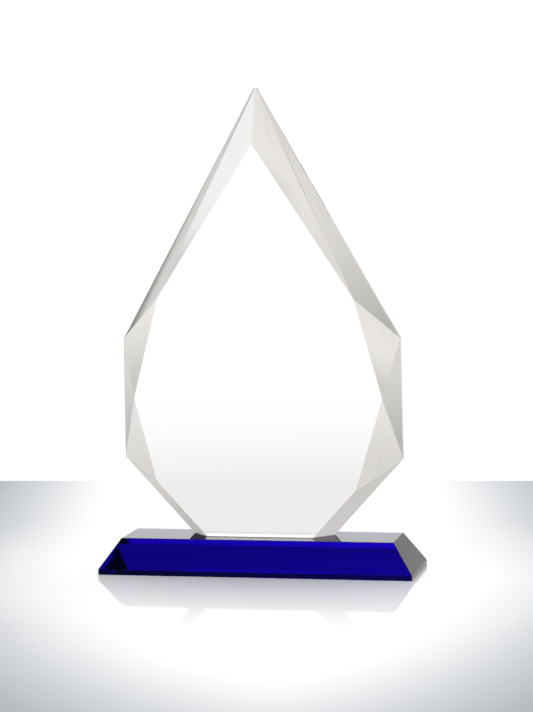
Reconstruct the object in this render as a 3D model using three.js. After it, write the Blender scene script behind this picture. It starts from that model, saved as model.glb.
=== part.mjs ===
// A free-standing crystal award: a clear, faceted plaque glued on edge to a bar of cobalt-blue glass.
// Millimetres, +Z up, the plaque's front facing -Y. The origin is the middle of the base's underside.
import * as THREE from "three";
import { ConvexGeometry } from "three/addons/geometries/ConvexGeometry.js";

// Base: a solid bar with an upright lip all round and four sloping sides above it.
const baseWidth = 151;
const baseDepth = 44;
const baseHeight = 16.5;
const lipHeight = 2.5;
const endSetback = 9.75; // how far each end slopes in, from the lip to the top
const sideSetback = 7.75; // the same for the front and the back

// Bond film between the plaque's foot and the base.
const filmThickness = 0.25;
const filmInset = 0.75; // the glue stops this far inside the edge of the foot

// Plaque: heights are measured from its foot, widths from its centre line.
const plaqueThickness = 12;
const girdleThickness = 2; // the upright edge left behind the bevels
const plaqueHeight = 211.85; // to the small flat ground on the tip
const apexHeight = 213.25; // where the two upper edges would meet
const shoulder = { x: 67.5, z: 93.5 };
const hip = { x: 67.9, z: 36.6 };
const footHalfWidth = 34.4;

// The flat front face inside the bevels. Its corners were ground by hand, so the left upper and lower
// corners sit a little high, and the right ones the same amount low.
const crownHeight = 185.6;
const upperCorner = { x: 47.3, z: 113.4, skew: 0.8 };
const sideCorner = { x: 60, z: 66.2 };
const lowerCorner = { z: 24.4, skew: 1.6 };
const faceFootHalfWidth = 25.7;

const plaqueFrontY = -plaqueThickness / 2;
const plaqueBackY = plaqueThickness / 2;
const girdleFrontY = plaqueBackY - girdleThickness;

const bothSides = [-1, 1];

const clearGlass = new THREE.MeshStandardMaterial({ color: 0xeef1ef, roughness: 0.03, metalness: 0 });
const curedAdhesive = new THREE.MeshStandardMaterial({ color: 0xe4e6e2, roughness: 0.2, metalness: 0 });
const cobaltGlass = new THREE.MeshStandardMaterial({ color: 0x0f0082, roughness: 0.04, metalness: 0 });

// The outline of the girdle on one side, from the tip's small flat down to the foot.
function outlineCorners(side) {
  const tipHalfWidth = (shoulder.x * (apexHeight - plaqueHeight)) / (apexHeight - shoulder.z);
  return [
    [side * tipHalfWidth, plaqueHeight],
    [side * shoulder.x, shoulder.z],
    [side * hip.x, hip.z],
    [side * footHalfWidth, 0],
  ];
}

// The corners of the flat front face on one side. The edge below the lower corner is parallel to the
// girdle's edge below the hip, so the lowest bevel is an even band.
function faceCorners(side) {
  const lowerZ = lowerCorner.z - side * lowerCorner.skew;
  const lowerX = faceFootHalfWidth + ((hip.x - footHalfWidth) * lowerZ) / hip.z;
  return [
    [side * upperCorner.x, upperCorner.z - side * upperCorner.skew],
    [side * sideCorner.x, sideCorner.z],
    [side * lowerX, lowerZ],
    [side * faceFootHalfWidth, 0],
  ];
}

// The plaque is the convex body round its girdle and its front face. The bevels between the two are
// triangles that share the corners of both, with one crease from the tip to the crown.
function plaqueGeometry() {
  const creaseFall = (apexHeight - plaqueHeight) / (apexHeight - crownHeight);
  const creaseTopY = girdleFrontY + (plaqueFrontY - girdleFrontY) * creaseFall;
  const points = [
    new THREE.Vector3(0, plaqueFrontY, crownHeight),
    new THREE.Vector3(0, creaseTopY, plaqueHeight),
  ];
  for (const side of bothSides) {
    for (const [x, z] of outlineCorners(side)) {
      points.push(new THREE.Vector3(x, girdleFrontY, z));
      points.push(new THREE.Vector3(x, plaqueBackY, z));
    }
    for (const [x, z] of faceCorners(side)) {
      points.push(new THREE.Vector3(x, plaqueFrontY, z));
    }
  }
  return new ConvexGeometry(points);
}

// The base is the convex body round its footprint, the top of its lip and its smaller top face.
function baseGeometry() {
  const points = [];
  for (const x of bothSides) {
    for (const y of bothSides) {
      const footX = (x * baseWidth) / 2;
      const footY = (y * baseDepth) / 2;
      points.push(new THREE.Vector3(footX, footY, 0));
      points.push(new THREE.Vector3(footX, footY, lipHeight));
      points.push(new THREE.Vector3(footX - x * endSetback, footY - y * sideSetback, baseHeight));
    }
  }
  return new ConvexGeometry(points);
}

// The film follows the foot of the plaque: narrower at the front, where the bevels cut into it.
function filmGeometry() {
  const frontY = plaqueFrontY + filmInset;
  const backY = plaqueBackY - filmInset;
  const frontHalf = faceFootHalfWidth - filmInset;
  const backHalf = footHalfWidth - filmInset;
  const shape = new THREE.Shape();
  shape.moveTo(-frontHalf, frontY);
  shape.lineTo(frontHalf, frontY);
  shape.lineTo(backHalf, girdleFrontY);
  shape.lineTo(backHalf, backY);
  shape.lineTo(-backHalf, backY);
  shape.lineTo(-backHalf, girdleFrontY);
  shape.closePath();
  return new THREE.ExtrudeGeometry(shape, { depth: filmThickness, bevelEnabled: false });
}

function namedMesh(name, geometry, material) {
  const mesh = new THREE.Mesh(geometry, material);
  mesh.name = name;
  return mesh;
}

const award = new THREE.Group();
award.name = "crystal_award";

const base = namedMesh("crystal_base", baseGeometry(), cobaltGlass);
award.add(base);

const film = namedMesh("bond_film", filmGeometry(), curedAdhesive);
film.position.z = baseHeight;
award.add(film);

const plaque = namedMesh("crystal_plaque", plaqueGeometry(), clearGlass);
plaque.position.z = baseHeight + filmThickness;
award.add(plaque);

export default award;
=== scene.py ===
"""A crystal award: a clear, faceted plaque glued on edge to a bar of cobalt-blue glass.

Metres, +Z up, the plaque's front facing -Y. The glass is real refracting glass with a depth-dependent
colour in the base, and every ground edge has its own narrow arris.

A clear facet is as bright as whatever it refracts. So the glass looks out on a room of its own, which
the world material describes by direction, and the base also on a few staged cards and a tray. The
camera and the matt floor see plain white light instead.
"""

import math

import bmesh
import bpy
from mathutils import Matrix, Vector


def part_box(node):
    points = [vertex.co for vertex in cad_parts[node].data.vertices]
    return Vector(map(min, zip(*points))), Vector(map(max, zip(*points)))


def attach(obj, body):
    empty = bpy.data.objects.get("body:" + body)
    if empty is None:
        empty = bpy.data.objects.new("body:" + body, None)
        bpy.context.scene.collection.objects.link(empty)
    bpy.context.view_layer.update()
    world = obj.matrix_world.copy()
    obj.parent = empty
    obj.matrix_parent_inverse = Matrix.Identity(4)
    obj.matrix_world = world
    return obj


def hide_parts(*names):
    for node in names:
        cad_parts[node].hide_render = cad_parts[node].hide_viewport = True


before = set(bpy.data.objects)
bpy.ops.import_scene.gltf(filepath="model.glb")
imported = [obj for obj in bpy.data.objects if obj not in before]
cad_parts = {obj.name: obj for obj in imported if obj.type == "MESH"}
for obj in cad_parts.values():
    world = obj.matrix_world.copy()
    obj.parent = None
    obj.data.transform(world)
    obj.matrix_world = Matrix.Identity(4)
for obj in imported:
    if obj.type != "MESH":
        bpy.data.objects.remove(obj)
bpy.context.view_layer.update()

MM = 0.001
WHITE = (1.0, 1.0, 1.0, 1.0)
WARM = (1.03, 1.0, 0.97, 1.0)

# Camera: where it stands, and the lens for a 36 mm sensor along the picture's long side.
CAMERA_AZIMUTH = 12.75
CAMERA_ELEVATION = 5.3
CAMERA_ROLL = -1.18
CAMERA_DISTANCE = 1.136
CAMERA_TARGET = Vector((0.0038, 0.0, 0.1024))
SENSOR = 36.0
LENS = 121.35


def make_camera():
    azimuth = math.radians(CAMERA_AZIMUTH)
    elevation = math.radians(CAMERA_ELEVATION)
    level = math.cos(elevation)
    back = Vector((math.sin(azimuth) * level, -math.cos(azimuth) * level, math.sin(elevation)))
    turn = (-back).to_track_quat("-Z", "Y").to_matrix() @ Matrix.Rotation(math.radians(CAMERA_ROLL), 3, "Z")
    data = bpy.data.cameras.new("camera")
    data.lens = LENS
    data.sensor_width = SENSOR
    camera = bpy.data.objects.new("camera", data)
    camera.matrix_world = Matrix.Translation(CAMERA_TARGET + back * CAMERA_DISTANCE) @ turn.to_4x4()
    bpy.context.collection.objects.link(camera)
    bpy.context.scene.camera = camera


class Nodes:
    """A short way to add nodes to a tree and to link them."""

    def __init__(self, tree):
        self.tree = tree
        tree.nodes.clear()

    def add(self, kind, inputs=None, **settings):
        """Add a node; an input that is a socket is linked, and anything else is set as its value."""
        node = self.tree.nodes.new(kind)
        for name, value in settings.items():
            setattr(node, name, value)
        for name, value in (inputs or {}).items():
            if isinstance(value, bpy.types.NodeSocket):
                self.tree.links.new(value, node.inputs[name])
            else:
                node.inputs[name].default_value = value
        return node

    def math(self, operation, first, second=0.0):
        node = self.add("ShaderNodeMath", {0: first, 1: second}, operation=operation)
        return node.outputs[0]

    def range(self, value, low, high, out_low, out_high, smooth=False):
        kind = "SMOOTHSTEP" if smooth else "LINEAR"
        inputs = {"Value": value, "From Min": low, "From Max": high, "To Min": out_low, "To Max": out_high}
        return self.add("ShaderNodeMapRange", inputs, interpolation_type=kind).outputs["Result"]

    def length(self, x, y):
        joined = self.add("ShaderNodeCombineXYZ", {0: x, 1: y})
        return self.add("ShaderNodeVectorMath", {0: joined.outputs[0]}, operation="LENGTH").outputs["Value"]

    def graded(self, value, stops, interpolation="LINEAR"):
        """A curve through stops of (value, level), as a socket."""
        first, last = stops[0][0], stops[-1][0]
        ramp = self.add("ShaderNodeValToRGB", {"Fac": self.range(value, first, last, 0.0, 1.0)})
        ramp.color_ramp.interpolation = interpolation
        elements = ramp.color_ramp.elements
        while len(elements) < len(stops):
            elements.new(0.5)
        for element, (place, level) in zip(elements, stops):
            element.position = (place - first) / (last - first)
            element.color = (level, level, level, 1.0)
        return ramp.outputs["Color"]

    def split(self, vector):
        return self.add("ShaderNodeSeparateXYZ", {0: vector}).outputs

    def place(self):
        """The point on the object, in its own coordinates, which are the frame's."""
        return self.add("ShaderNodeTexCoord").outputs["Object"]


def new_material(name):
    material = bpy.data.materials.new(name)
    material.use_nodes = True
    return material, Nodes(material.node_tree)


# Glass. A finish is the roughness where the surface is clean and where it is marked.
CROWN_IOR = 1.52
ADHESIVE_IOR = 1.48
POLISHED = (0.0, 0.03)
GROUND = (0.2, 0.32)
CURED = (0.15, 0.28)
ADHESIVE_COLOUR = (0.97, 0.97, 0.95, 1.0)
COBALT_TINT = (0.4, 0.0, 0.88, 1.0)
COBALT_DENSITY = 200.0  # per metre: what is left of each colour falls by 1 - tint times this

# The marks of handling: wide soft smears, broken up by finer ones.
SMEAR = {"Scale": 38.0, "Detail": 4.0, "Distortion": 0.6}
FINE_SMEAR = {"Scale": 420.0, "Detail": 3.0, "Roughness": 0.65}
MARKS_BEGIN = 0.52
MARKS_FULL = 0.8

# The fine nicks of a ground edge, and how deep they go.
NICK = {"Scale": 1400.0, "Detail": 2.0}
NICK_BOTTOM = 0.35
NICK_TOP = 0.6
ARRIS_NICKS = 0.02 * MM
FILM_NICKS = 0.03 * MM


def marked_roughness(n, place, finish):
    clean, marked = finish
    wide = n.add("ShaderNodeTexNoise", {"Vector": place, **SMEAR})
    fine = n.add("ShaderNodeTexNoise", {"Vector": place, **FINE_SMEAR})
    marks = n.math("MULTIPLY", wide.outputs["Fac"], n.math("ADD", fine.outputs["Fac"], 0.5))
    return n.range(marks, MARKS_BEGIN, MARKS_FULL, clean, marked, smooth=True)


def glass(name, ior, finish, colour=WHITE, nicks=0.0, tint=None, density=0.0):
    """Clear glass; nicks is the depth of its fine nicks, and tint and density colour it by depth."""
    material, n = new_material(name)
    place = n.place()
    inputs = {
        "Base Color": colour,
        "Roughness": marked_roughness(n, place, finish),
        "IOR": ior,
        "Transmission Weight": 1.0,
    }
    if nicks:
        noise = n.add("ShaderNodeTexNoise", {"Vector": place, **NICK})
        height = n.range(noise.outputs["Fac"], NICK_BOTTOM, NICK_TOP, 0.0, 1.0)
        bump = n.add("ShaderNodeBump", {"Height": height, "Distance": nicks, "Strength": 1.0})
        inputs["Normal"] = bump.outputs["Normal"]
    shader = n.add("ShaderNodeBsdfPrincipled", inputs)
    out = n.add("ShaderNodeOutputMaterial", {"Surface": shader.outputs[0]})
    if density:
        volume = n.add("ShaderNodeVolumeAbsorption", {"Color": tint, "Density": density})
        n.tree.links.new(volume.outputs[0], out.inputs["Volume"])
    return material


def clear_crystal():
    return glass("clear_crystal", CROWN_IOR, POLISHED)


def clear_arris():
    return glass("clear_arris", CROWN_IOR, GROUND, nicks=ARRIS_NICKS)


def cured_adhesive():
    return glass("cured_adhesive", ADHESIVE_IOR, CURED, colour=ADHESIVE_COLOUR, nicks=FILM_NICKS)


def cobalt_crystal():
    return glass("cobalt_crystal", CROWN_IOR, POLISHED, tint=COBALT_TINT, density=COBALT_DENSITY)


def cobalt_arris():
    return glass(
        "cobalt_arris", CROWN_IOR, GROUND, nicks=ARRIS_NICKS, tint=COBALT_TINT, density=COBALT_DENSITY
    )


# Every sharp edge of the glass has a narrow ground flat, the arris.
ARRIS = 0.35 * MM
FILM_ARRIS = 0.05 * MM
FILM_CLEARANCE = 0.02 * MM  # between the cured film and each of the two glasses
MERGE_WITHIN = 0.001 * MM
FLAT_WITHIN = math.radians(0.5)  # triangles that turn less than this are one facet
SHARP_BEYOND = math.radians(2)  # facets that turn more than this meet in an arris


def cut_piece(node, materials, arris, sharp_below=0.0):
    """A copy of a CAD solid with its facets joined and a narrow arris along its edges.

    Edges that lie wholly below sharp_below keep their sharp corner.
    """
    mesh = bpy.data.meshes.new(node + "_cut")
    work = bmesh.new()
    work.from_mesh(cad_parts[node].data)
    bmesh.ops.remove_doubles(work, verts=work.verts, dist=MERGE_WITHIN)
    bmesh.ops.dissolve_limit(work, angle_limit=FLAT_WITHIN, verts=work.verts, edges=work.edges)
    sharp = [e for e in work.edges if e.is_manifold and e.calc_face_angle() > SHARP_BEYOND]
    sharp = [e for e in sharp if max(v.co.z for v in e.verts) > sharp_below]
    bmesh.ops.bevel(
        work,
        geom=sharp,
        offset=arris,
        offset_type="WIDTH",
        segments=2,
        profile=0.5,
        affect="EDGES",
        material=1,
    )
    work.to_mesh(mesh)
    work.free()
    for material in materials:
        mesh.materials.append(material)
    piece = bpy.data.objects.new(node + "_cut", mesh)
    bpy.context.collection.objects.link(piece)
    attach(piece, "root")
    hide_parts(node)
    return piece


def make_plaque():
    """The foot's own edges stay sharp, because they are ground flush for the glue."""
    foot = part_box("crystal_plaque")[0].z
    cut_piece("crystal_plaque", [clear_crystal(), clear_arris()], ARRIS, foot + ARRIS)


def make_base():
    cut_piece("crystal_base", [cobalt_crystal(), cobalt_arris()], ARRIS)


def make_film():
    """The film is a little thinner than its gap, so that no two glass faces lie in one plane."""
    adhesive = cured_adhesive()
    film = cut_piece("bond_film", [adhesive, adhesive], FILM_ARRIS)
    low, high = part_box("bond_film")
    middle = Vector((0, 0, (low.z + high.z) / 2))
    thinner = 1 - 2 * FILM_CLEARANCE / (high.z - low.z)
    squeeze = Matrix.Diagonal((1, 1, thinner, 1))
    film.data.transform(Matrix.Translation(middle) @ squeeze @ Matrix.Translation(-middle))


def add_mesh(name, points, faces, material):
    mesh = bpy.data.meshes.new(name)
    mesh.from_pydata(points, [], faces)
    mesh.materials.append(material)
    thing = bpy.data.objects.new(name, mesh)
    bpy.context.collection.objects.link(thing)
    return thing


# The floor: a pale table top whose back edge shows behind the object.
FLOOR_EDGE = 0.2915  # from the object's middle to that back edge
FLOOR_TURN = 4.6  # degrees, how far the edge is turned about the vertical
FLOOR_REACH = 2.5
FLOOR_DROP = 0.05 * MM  # keeps the floor out of the plane of the base's underside
FLOOR_COLOUR = (0.93, 0.93, 0.93, 1.0)
# Painted shade: the floor's bluish colour where the painted pool of light is dim.
FLOOR_PAINTED_SHADE = (0.89, 0.925, 0.97, 1.0)
FULL_SHADE = 0.5  # the level of the painted pool of light at which the colour is wholly that of the painted shade

# Its polish, which mirrors the base and fades out this far from it.
MIRROR_REACH = 0.125
MIRROR_IOR = 2.5
MIRROR_COLOUR = (0.95, 0.95, 0.95, 1.0)
MIRROR_ROUGHNESS = 0.05

# The pool of light painted into its colour: middle and size, across and along the line from the camera.
POOL_MIDDLE = (0.005, -0.04)
POOL_SIZE = (0.125, 0.25)
POOL_POWER = 1.5  # its front is a superellipse of this power
# Its stops are (distance from the middle as a share of the size, level).
POOL = [
    (0.6, 1.0), (0.75, 0.95), (0.9, 0.83), (1.06, 0.68), (1.25, 0.52), (1.4, 0.42), (1.8, 0.46), (3.0, 0.58),
]


def painted_pool_of_light(n, place):
    """The floor's painted brightness: a pool of light round the object, open towards the back and rounded at
    the front.
    """
    turned = n.add("ShaderNodeVectorRotate", {"Vector": place, "Angle": -math.radians(CAMERA_AZIMUTH)})
    at = n.split(turned.outputs[0])
    across = n.math("DIVIDE", n.math("SUBTRACT", at["X"], POOL_MIDDLE[0]), POOL_SIZE[0])
    along = n.math("DIVIDE", n.math("SUBTRACT", at["Y"], POOL_MIDDLE[1]), POOL_SIZE[1])
    in_front = n.math("MINIMUM", along, 0.0)
    total = n.math(
        "ADD",
        n.math("POWER", n.math("ABSOLUTE", across), POOL_POWER),
        n.math("POWER", n.math("ABSOLUTE", in_front), POOL_POWER),
    )
    return n.graded(n.math("POWER", total, 1 / POOL_POWER), POOL, "B_SPLINE")


def distance_from_base(n, place):
    at = n.split(place)
    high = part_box("crystal_base")[1]
    beyond_x = n.math("MAXIMUM", n.math("SUBTRACT", n.math("ABSOLUTE", at["X"]), high.x), 0.0)
    beyond_y = n.math("MAXIMUM", n.math("SUBTRACT", n.math("ABSOLUTE", at["Y"]), high.y), 0.0)
    return n.length(beyond_x, beyond_y)


def floor_material():
    material, n = new_material("pale_floor")
    place = n.place()
    pool = painted_pool_of_light(n, place)
    shaded = n.range(pool, FULL_SHADE, 1.0, 1.0, 0.0)
    colours = {"Factor": shaded, "A": FLOOR_COLOUR, "B": FLOOR_PAINTED_SHADE}
    colour = n.add("ShaderNodeMix", colours, data_type="RGBA").outputs["Result"]
    # Painted light and shade: the floor's colour is scaled by the painted pool of light.
    lit = n.add("ShaderNodeVectorMath", {0: colour, "Scale": pool}, operation="SCALE")
    near = n.range(distance_from_base(n, place), 0.0, MIRROR_REACH, 1.0, 0.0)
    fresnel = n.add("ShaderNodeFresnel", {"IOR": MIRROR_IOR})
    amount = n.math("MULTIPLY", near, fresnel.outputs[0])
    matt = n.add("ShaderNodeBsdfDiffuse", {"Color": lit.outputs[0]})
    gloss = n.add("ShaderNodeBsdfGlossy", {"Color": MIRROR_COLOUR, "Roughness": MIRROR_ROUGHNESS})
    both = n.add("ShaderNodeMixShader", {0: amount, 1: matt.outputs[0], 2: gloss.outputs[0]})
    n.add("ShaderNodeOutputMaterial", {"Surface": both.outputs[0]})
    return material


def make_floor():
    """The glass doesn't see the floor: the room and the tray under the base stand in for it."""
    reach = FLOOR_REACH
    corners = [(-reach, -reach), (reach, -reach), (reach, FLOOR_EDGE), (-reach, FLOOR_EDGE)]
    turn = Matrix.Rotation(math.radians(FLOOR_TURN), 3, "Z")
    points = [turn @ Vector((x, y, -FLOOR_DROP)) for x, y in corners]
    floor = add_mesh("floor", points, [(0, 1, 2, 3)], floor_material())
    floor.visible_glossy = False
    floor.visible_transmission = False


# Upright cards, in mm, which only the glass sees. A grey one stands behind the base and is a little
# lower in the middle. Three dark ones darken the base's left end. A dark curtain in front and a lit
# strip behind the plaque's foot are seen only in reflections.
GREY = [(0, 0.17), (3.7, 0.17), (5.3, 0.68), (14, 0.745)]  # (height, level)
GREY_SLOPE = 1.2  # how much brighter it gets towards the right, per metre
GREY_Y = 34
GREY_OUTLINE = [(-90, 0.3), (85, 0.3), (85, 14), (32, 14), (32, 12), (-44, 12), (-44, 14), (-90, 14)]
DARK_LEVEL = 0.015
DARK_END_Y = 24
DARK_END_OUTLINE = [(-90, -3), (-76.5, -3), (-70.1, 11), (-70.1, 14), (-90, 14)]
DARK_Y = 33.8  # just in front of the grey card
DARK_LOW = (-70, -54, -1.6, 1.6)
DARK_DEEP = (-76, -60, -12, -6)
CURTAIN_LEVEL = 0.05
CURTAIN_Y = -2400
CURTAIN_SIDES = (-4000, 4000, -1500, 2500)
GLOW_LEVEL = 2.0
GLOW_Y = 15
GLOW_SIDES = (-36, 32, 16.6, 17.7)


def even_light(name, level):
    material, n = new_material(name)
    shader = n.add("ShaderNodeEmission", {"Color": WARM, "Strength": level})
    n.add("ShaderNodeOutputMaterial", {"Surface": shader.outputs[0]})
    return material


def graded_light(name, stops, slope):
    """Brightness by height, through stops of (height in mm, level), plus slope times x."""
    material, n = new_material(name)
    at = n.split(n.place())
    height = n.math("MULTIPLY", at["Z"], 1 / MM)
    side = n.math("MULTIPLY", at["X"], slope)
    strength = n.math("ADD", n.graded(height, stops), side)
    shader = n.add("ShaderNodeEmission", {"Color": WARM, "Strength": strength})
    n.add("ShaderNodeOutputMaterial", {"Surface": shader.outputs[0]})
    return material


def show_only_to_glass(card, reflected):
    """Light that passes through the glass sees the card, or, if reflected is true, reflections do."""
    card.visible_camera = False
    card.visible_diffuse = False
    card.visible_shadow = False
    card.visible_volume_scatter = False
    card.visible_glossy = reflected
    card.visible_transmission = not reflected


def make_card(name, y, outline, material, reflected=False):
    """A flat upright card at y, drawn by its outline in mm of x and z."""
    points = [(x * MM, y * MM, z * MM) for x, z in outline]
    card = add_mesh(name, points, [tuple(range(len(outline)))], material)
    show_only_to_glass(card, reflected)


def rectangle(low_x, high_x, low_z, high_z):
    return [(low_x, low_z), (high_x, low_z), (high_x, high_z), (low_x, high_z)]


def make_cards():
    grey = graded_light("flag_grey", GREY, GREY_SLOPE)
    dark = even_light("flag_dark", DARK_LEVEL)
    make_card("base_flag", GREY_Y, GREY_OUTLINE, grey)
    make_card("base_flag_end", DARK_END_Y, DARK_END_OUTLINE, dark)
    make_card("base_flag_low", DARK_Y, rectangle(*DARK_LOW), dark)
    make_card("base_flag_deep", DARK_Y, rectangle(*DARK_DEEP), dark)
    curtain = even_light("front_curtain", CURTAIN_LEVEL)
    make_card("front_curtain", CURTAIN_Y, rectangle(*CURTAIN_SIDES), curtain, reflected=True)
    glow = even_light("foot_glow", GLOW_LEVEL)
    make_card("foot_glow", GLOW_Y, rectangle(*GLOW_SIDES), glow, reflected=True)


# The tray under the base stands in for the floor there and glows with painted shade, with a painted lit
# strip behind the middle. Its stops are (y in mm, level).
TRAY_DEPTH = 0.025
TRAY = [(-22, 0.15), (4.5, 0.15), (7, 1.28), (10.6, 1.28), (13, 0.15), (22, 0.15)]
TRAY_SLOPE = 2.0  # brighter towards the right, as a share per metre
TRAY_RIM_LEVEL = 0.06  # painted shade: what is left of the light on its walls just under the glass
TRAY_LIT_FROM = 0.45  # the walls brighten between these two shares of the depth
TRAY_LIT_BY = 0.9


def tray_material():
    material, n = new_material("painted_light_under_base")
    at = n.split(n.place())
    across = n.math("MULTIPLY", at["Y"], 1 / MM)
    depth = n.range(
        at["Z"], -TRAY_DEPTH * TRAY_LIT_BY, -TRAY_DEPTH * TRAY_LIT_FROM, 1.0, TRAY_RIM_LEVEL, smooth=True
    )
    side = n.math("ADD", n.math("MULTIPLY", at["X"], TRAY_SLOPE), 1.0)
    strength = n.math("MULTIPLY", n.math("MULTIPLY", n.graded(across, TRAY), depth), side)
    shader = n.add("ShaderNodeEmission", {"Color": WHITE, "Strength": strength})
    n.add("ShaderNodeOutputMaterial", {"Surface": shader.outputs[0]})
    return material


def make_tray():
    """A shallow open box under the base, glowing with painted light and shade, seen by the light that passes
    through the base's underside.
    """
    low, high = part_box("crystal_base")
    rim = -2 * FLOOR_DROP
    points = []
    for z in (rim, -TRAY_DEPTH):
        points += [(low.x, low.y, z), (high.x, low.y, z), (high.x, high.y, z), (low.x, high.y, z)]
    faces = [(4, 5, 6, 7), (0, 1, 5, 4), (1, 2, 6, 5), (2, 3, 7, 6), (3, 0, 4, 7)]
    tray = add_mesh("painted_light_under_base", points, faces, tray_material())
    show_only_to_glass(tray, reflected=False)


# The room that the glass sees, by direction in degrees: azimuth from +Y towards +X, and elevation.
# Brightness is listed as (elevation, level). A span is four azimuths: where the part begins, where it
# is full, where it starts to go and where it is gone.
ROOM = [
    (-90, 0.8), (-30, 0.88), (-16, 0.8), (-12.5, 0.72), (-11, 0.84), (-9, 0.8), (-3, 0.68), (-1, 0.86),
    (6, 0.8), (14, 0.66), (20.3, 0.56), (21.8, 0.82), (25, 0.85), (36, 0.08), (90, 0.15),
]
# The same to the left and to the right, used below the horizon.
LEFT_SPAN = (-46, -43, -35, -31)
LEFT_ROOM = [
    (-90, 0.8), (-30, 0.88), (-21, 0.8), (-19.5, 0.5), (-18.3, 0.45), (-16, 0.7), (-14.5, 0.76), (-9, 0.6),
    (-7.7, 0.42), (-6, 0.65), (10, 0.75),
]
RIGHT_SPAN = (9, 15, 35, 45)
RIGHT_ROOM = [
    (-90, 0.8), (-26, 0.8), (-24, 0.31), (-22.6, 0.29), (-20.3, 0.67), (-16, 0.72), (-9, 0.6), (-7.5, 0.42),
    (-6, 0.65), (10, 0.75),
]
HORIZON = (-1, 5)  # the two sides give way to the plain room between these elevations

# Above the horizon, the room is only lit behind the object.
BEHIND = -10  # the azimuth that lies behind it, as the camera sees it
HIGH = (7, 13)  # the dimming sets in between these elevations,
OFF_AXIS = (38, 60)  # and between these angles away from BEHIND
SIDE_DIMMING = 0.75

# Parts in shade: azimuth, elevation, half width, half height, and what is left in the middle.
SHADES = [
    (37, -31, 26, 12, 0.0),
    (-77, 17, 12, 7, 0.0),
    (9.5, 10, 10, 7, 0.6),
    (-167, 9.5, 16, 7, 0.0),
    (5, -1.6, 8, 4, 0.9),
    (-29.6, -11.4, 1.6, 1.4, 0.65),
    (8, -12, 4, 2.2, 0.56),
]
SHADE_CORE = 0.25  # a shade is at its deepest within this share of its half width,
SHADE_RIM = 1.2  # and gone beyond this share

# Underfoot, reflections see less of the room than the light that passes through the glass.
UNDERFOOT = (-26, -18)
UNDERFOOT_DIMMING = 0.9

# A bright window behind the flat face.
WINDOW_SPAN = (-25, -21, 4.1, 4.9)
WINDOW = [
    (-90, 0.8), (-45, 0.8), (-20, 0.5), (-14.2, 0.62), (-13.3, 0.88), (-12.5, 0.92), (-9.5, 0.92),
    (-8.7, 0.84), (-7.3, 1.02), (-5, 1.09), (10, 1.2), (16, 0.85), (26, 0.8), (36, 0.08), (90, 0.15),
]

SKY = 1.1  # the plain white light that the camera and the floor see
WARM_WITHIN = (33, 45)  # the room's warmth turns neutral between these angles away from BEHIND


def ray_direction(n):
    """The azimuth and the elevation of the ray, in degrees."""
    ray = n.split(n.add("ShaderNodeTexCoord").outputs["Generated"])
    to_degrees = 180 / math.pi
    azimuth = n.math("MULTIPLY", n.math("ARCTAN2", ray["X"], ray["Y"]), to_degrees)
    elevation = n.math("MULTIPLY", n.math("ARCSINE", ray["Z"]), to_degrees)
    return azimuth, elevation


def rising(n, value, ends):
    return n.range(value, *ends, 0.0, 1.0, smooth=True)


def falling(n, value, ends):
    return n.range(value, *ends, 1.0, 0.0, smooth=True)


def within(n, azimuth, span):
    return n.math("MULTIPLY", rising(n, azimuth, span[:2]), falling(n, azimuth, span[2:]))


def without(n, light, share):
    """What is left of the light when this share of it is taken away."""
    return n.math("MULTIPLY", light, n.math("SUBTRACT", 1.0, share))


def room_with_sides(n, azimuth, elevation):
    room = n.graded(elevation, ROOM)
    for span, levels in ((RIGHT_SPAN, RIGHT_ROOM), (LEFT_SPAN, LEFT_ROOM)):
        share = n.math("MULTIPLY", within(n, azimuth, span), falling(n, elevation, HORIZON))
        side = n.math("MULTIPLY", n.graded(elevation, levels), share)
        room = n.math("ADD", without(n, room, share), side)
    return room


def in_shades(n, room, azimuth, elevation):
    for at_azimuth, at_elevation, wide, high, level in SHADES:
        across = n.math("DIVIDE", n.math("SUBTRACT", azimuth, at_azimuth), wide)
        along = n.math("DIVIDE", n.math("SUBTRACT", elevation, at_elevation), high)
        left = n.range(n.length(across, along), SHADE_CORE, SHADE_RIM, level, 1.0, smooth=True)
        room = n.math("MULTIPLY", room, left)
    return room


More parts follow.
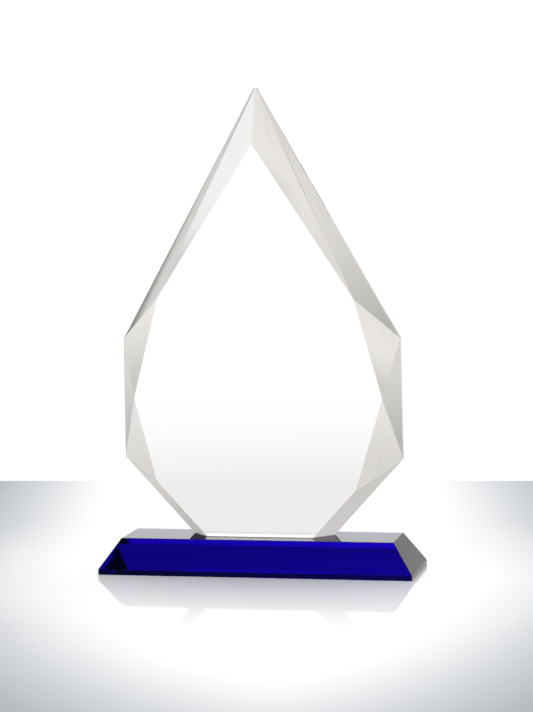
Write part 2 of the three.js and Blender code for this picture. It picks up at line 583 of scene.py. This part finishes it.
def make_world():
    world = bpy.data.worlds.new("studio")
    bpy.context.scene.world = world
    world.use_nodes = True
    n = Nodes(world.node_tree)
    path = n.add("ShaderNodeLightPath").outputs
    azimuth, elevation = ray_direction(n)
    off_axis = n.math("ABSOLUTE", n.math("SUBTRACT", azimuth, BEHIND))

    room = room_with_sides(n, azimuth, elevation)
    unlit = n.range(off_axis, *OFF_AXIS, 0.0, SIDE_DIMMING, smooth=True)
    room = without(n, room, n.math("MULTIPLY", rising(n, elevation, HIGH), unlit))
    room = in_shades(n, room, azimuth, elevation)
    reflected = n.math("SUBTRACT", 1.0, path["Is Transmission Ray"])
    unseen = n.range(elevation, *UNDERFOOT, UNDERFOOT_DIMMING, 0.0, smooth=True)
    room = without(n, room, n.math("MULTIPLY", unseen, reflected))
    in_window = within(n, azimuth, WINDOW_SPAN)
    room = without(n, room, in_window)
    window = n.math("MULTIPLY", n.graded(elevation, WINDOW), in_window)

    tones = {"Factor": rising(n, off_axis, WARM_WITHIN), "A": WARM, "B": WHITE}
    tone = n.add("ShaderNodeMix", tones, data_type="RGBA").outputs["Result"]
    room_light = n.add("ShaderNodeBackground", {"Color": tone, "Strength": room})
    window_light = n.add("ShaderNodeBackground", {"Color": WHITE, "Strength": window})
    seen_by_glass = n.add("ShaderNodeAddShader", {0: room_light.outputs[0], 1: window_light.outputs[0]})
    plain = n.add("ShaderNodeBackground", {"Color": WHITE, "Strength": SKY})
    open_ray = n.math("MAXIMUM", path["Is Camera Ray"], path["Is Diffuse Ray"])
    mix = n.add("ShaderNodeMixShader", {0: open_ray, 1: seen_by_glass.outputs[0], 2: plain.outputs[0]})
    n.add("ShaderNodeOutputWorld", {"Surface": mix.outputs[0]})


# One softbox straight overhead, which gives the floor its soft shadow under the base.
SOFTBOX_SIZE = (1.6, 1.2)
SOFTBOX_HEIGHT = 1.3
SOFTBOX_WATTS = 3.0


def make_light():
    data = bpy.data.lights.new("softbox", "AREA")
    data.shape = "RECTANGLE"
    data.size, data.size_y = SOFTBOX_SIZE
    data.energy = SOFTBOX_WATTS
    light = bpy.data.objects.new("softbox", data)
    light.location = (0, 0, SOFTBOX_HEIGHT)
    light.visible_glossy = False
    bpy.context.collection.objects.link(light)


GLASS_BOUNCES = 32


def set_light_paths():
    """Light takes many turns inside the bevelled plaque before it leaves again."""
    cycles = bpy.context.scene.cycles
    cycles.max_bounces = GLASS_BOUNCES
    cycles.glossy_bounces = GLASS_BOUNCES
    cycles.transmission_bounces = GLASS_BOUNCES


make_camera()
make_plaque()
make_base()
make_film()
make_cards()
make_tray()
make_light()
make_floor()
make_world()
set_light_paths()
bpy.context.scene.view_settings.view_transform = "Standard"
